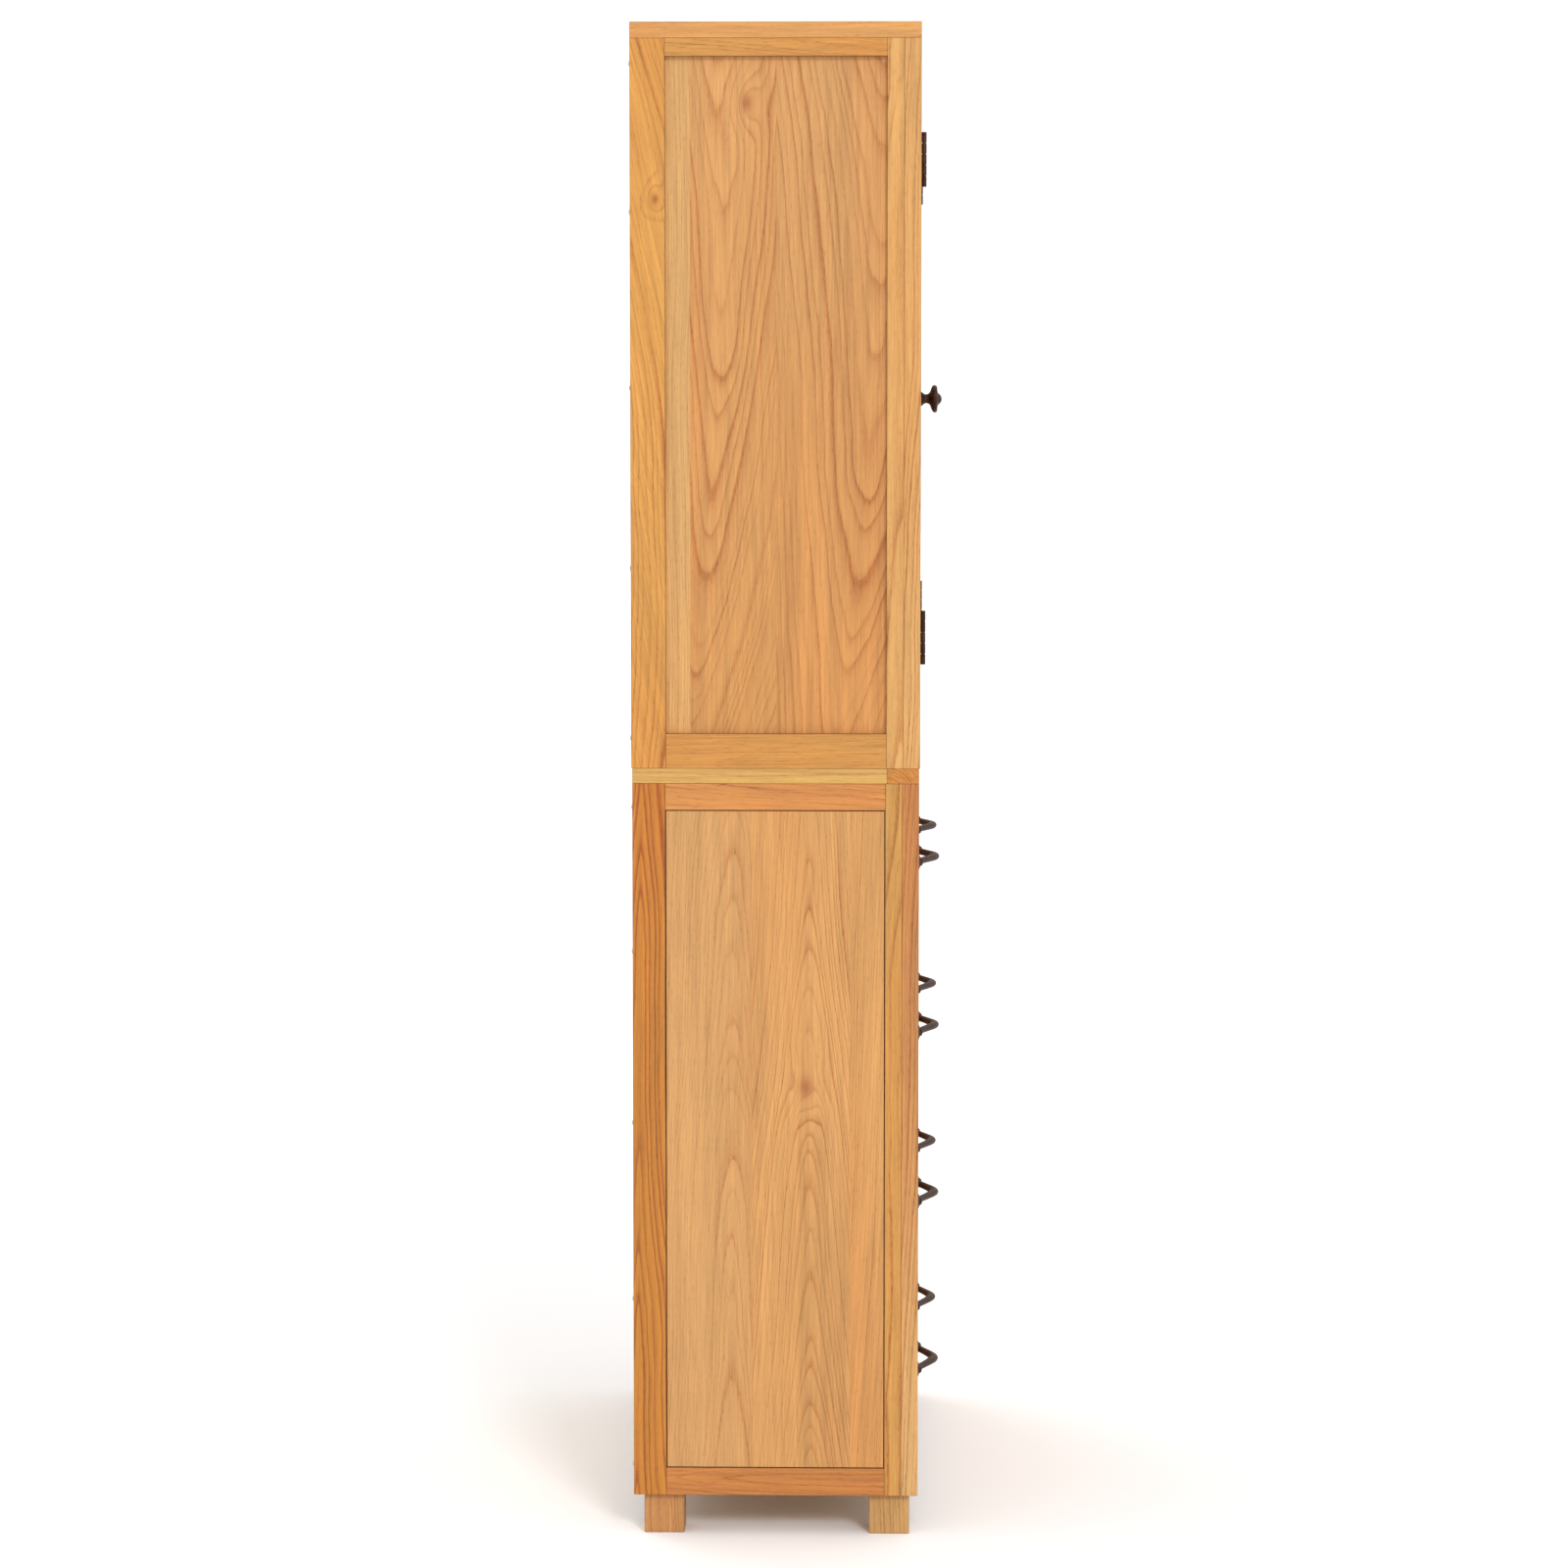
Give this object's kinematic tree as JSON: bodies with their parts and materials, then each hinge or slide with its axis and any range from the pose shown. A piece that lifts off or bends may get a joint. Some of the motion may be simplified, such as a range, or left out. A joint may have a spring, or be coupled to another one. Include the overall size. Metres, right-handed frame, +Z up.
{
  "type": "pantry cabinet",
  "caption": "Tall free-standing oak pantry cabinet: a cupboard with hinged doors and shelves on a unit of sliding drawers with bow pulls, on square feet.",
  "frame": {"origin": "on the floor, at the middle of the cabinet's width and of its depth from the knobs to the screw heads on the back", "axes": "+X to the right as seen from the front, +Y to the back, +Z up"},
  "size_m": [0.8, 0.372, 1.8],
  "materials": {
    "frame_oak": "honey oak, satin lacquer",
    "panel_oak": "honey oak of wider boards, satin lacquer",
    "foot_oak": "oak, thin dull lacquer",
    "inner_oak": "pale oak, thin lacquer",
    "plywood": "oak-faced plywood, thin lacquer",
    "dark_bronze": "dark brown bronze, worn satin"
  },
  "bodies": {
    "cabinet": {"top_board": "frame_oak", "upper_face_frame": "frame_oak", "upper_left_side_frame": "frame_oak", "upper_left_side_panel": "panel_oak", "upper_right_side_frame": "frame_oak", "upper_right_side_panel": "panel_oak", "upper_bottom_board": "inner_oak", "upper_back_panel": "plywood", "lower_shelf": "inner_oak", "upper_shelf": "inner_oak", "left_top_hinge_frame_leaf": "dark_bronze", "left_bottom_hinge_frame_leaf": "dark_bronze", "right_top_hinge_frame_leaf": "dark_bronze", "right_bottom_hinge_frame_leaf": "dark_bronze", "lower_top_board": "frame_oak", "lower_face_frame": "frame_oak", "lower_left_side_frame": "frame_oak", "lower_left_side_panel": "panel_oak", "lower_right_side_frame": "frame_oak", "lower_right_side_panel": "panel_oak", "lower_back_panel": "plywood", "drawer_rack": "inner_oak", "front_left_foot": "foot_oak", "front_right_foot": "foot_oak", "rear_left_foot": "foot_oak", "rear_right_foot": "foot_oak"},
    "left_door": {"left_door_frame": "frame_oak", "left_door_panel": "panel_oak", "left_door_knob": "dark_bronze", "left_top_hinge_door_leaf": "dark_bronze", "left_bottom_hinge_door_leaf": "dark_bronze"},
    "right_door": {"right_door_frame": "frame_oak", "right_door_panel": "panel_oak", "right_door_knob": "dark_bronze", "right_top_hinge_door_leaf": "dark_bronze", "right_bottom_hinge_door_leaf": "dark_bronze"},
    "drawer_1_left": {"drawer_1_left_front": "panel_oak", "drawer_1_left_box": "inner_oak", "drawer_1_left_pull": "dark_bronze"},
    "drawer_1_right": {"drawer_1_right_front": "panel_oak", "drawer_1_right_box": "inner_oak", "drawer_1_right_pull": "dark_bronze"},
    "drawer_2_left": {"drawer_2_left_front": "panel_oak", "drawer_2_left_box": "inner_oak", "drawer_2_left_pull": "dark_bronze"},
    "drawer_2_right": {"drawer_2_right_front": "panel_oak", "drawer_2_right_box": "inner_oak", "drawer_2_right_pull": "dark_bronze"},
    "drawer_3_left": {"drawer_3_left_front": "panel_oak", "drawer_3_left_box": "inner_oak", "drawer_3_left_pull": "dark_bronze"},
    "drawer_3_right": {"drawer_3_right_front": "panel_oak", "drawer_3_right_box": "inner_oak", "drawer_3_right_pull": "dark_bronze"},
    "drawer_4_left": {"drawer_4_left_front": "panel_oak", "drawer_4_left_box": "inner_oak", "drawer_4_left_pull": "dark_bronze"},
    "drawer_4_right": {"drawer_4_right_front": "panel_oak", "drawer_4_right_box": "inner_oak", "drawer_4_right_pull": "dark_bronze"}
  },
  "joints": [
    {"name": "left_door_hinge", "type": "hinge", "parent": "cabinet", "child": "left_door", "pos_m": [-0.35875, -0.16112, 1.3], "axis": [0, 0, -1], "range_deg": [0, 165]},
    {"name": "right_door_hinge", "type": "hinge", "parent": "cabinet", "child": "right_door", "pos_m": [0.35875, -0.16112, 1.3], "axis": [0, 0, 1], "range_deg": [0, 165]},
    {"name": "drawer_1_left_slide", "type": "slide", "parent": "cabinet", "child": "drawer_1_left", "axis": [0, -1, 0], "range_m": [0, 0.24]},
    {"name": "drawer_1_right_slide", "type": "slide", "parent": "cabinet", "child": "drawer_1_right", "axis": [0, -1, 0], "range_m": [0, 0.24]},
    {"name": "drawer_2_left_slide", "type": "slide", "parent": "cabinet", "child": "drawer_2_left", "axis": [0, -1, 0], "range_m": [0, 0.24]},
    {"name": "drawer_2_right_slide", "type": "slide", "parent": "cabinet", "child": "drawer_2_right", "axis": [0, -1, 0], "range_m": [0, 0.24]},
    {"name": "drawer_3_left_slide", "type": "slide", "parent": "cabinet", "child": "drawer_3_left", "axis": [0, -1, 0], "range_m": [0, 0.24]},
    {"name": "drawer_3_right_slide", "type": "slide", "parent": "cabinet", "child": "drawer_3_right", "axis": [0, -1, 0], "range_m": [0, 0.24]},
    {"name": "drawer_4_left_slide", "type": "slide", "parent": "cabinet", "child": "drawer_4_left", "axis": [0, -1, 0], "range_m": [0, 0.24]},
    {"name": "drawer_4_right_slide", "type": "slide", "parent": "cabinet", "child": "drawer_4_right", "axis": [0, -1, 0], "range_m": [0, 0.24]}
  ]
}
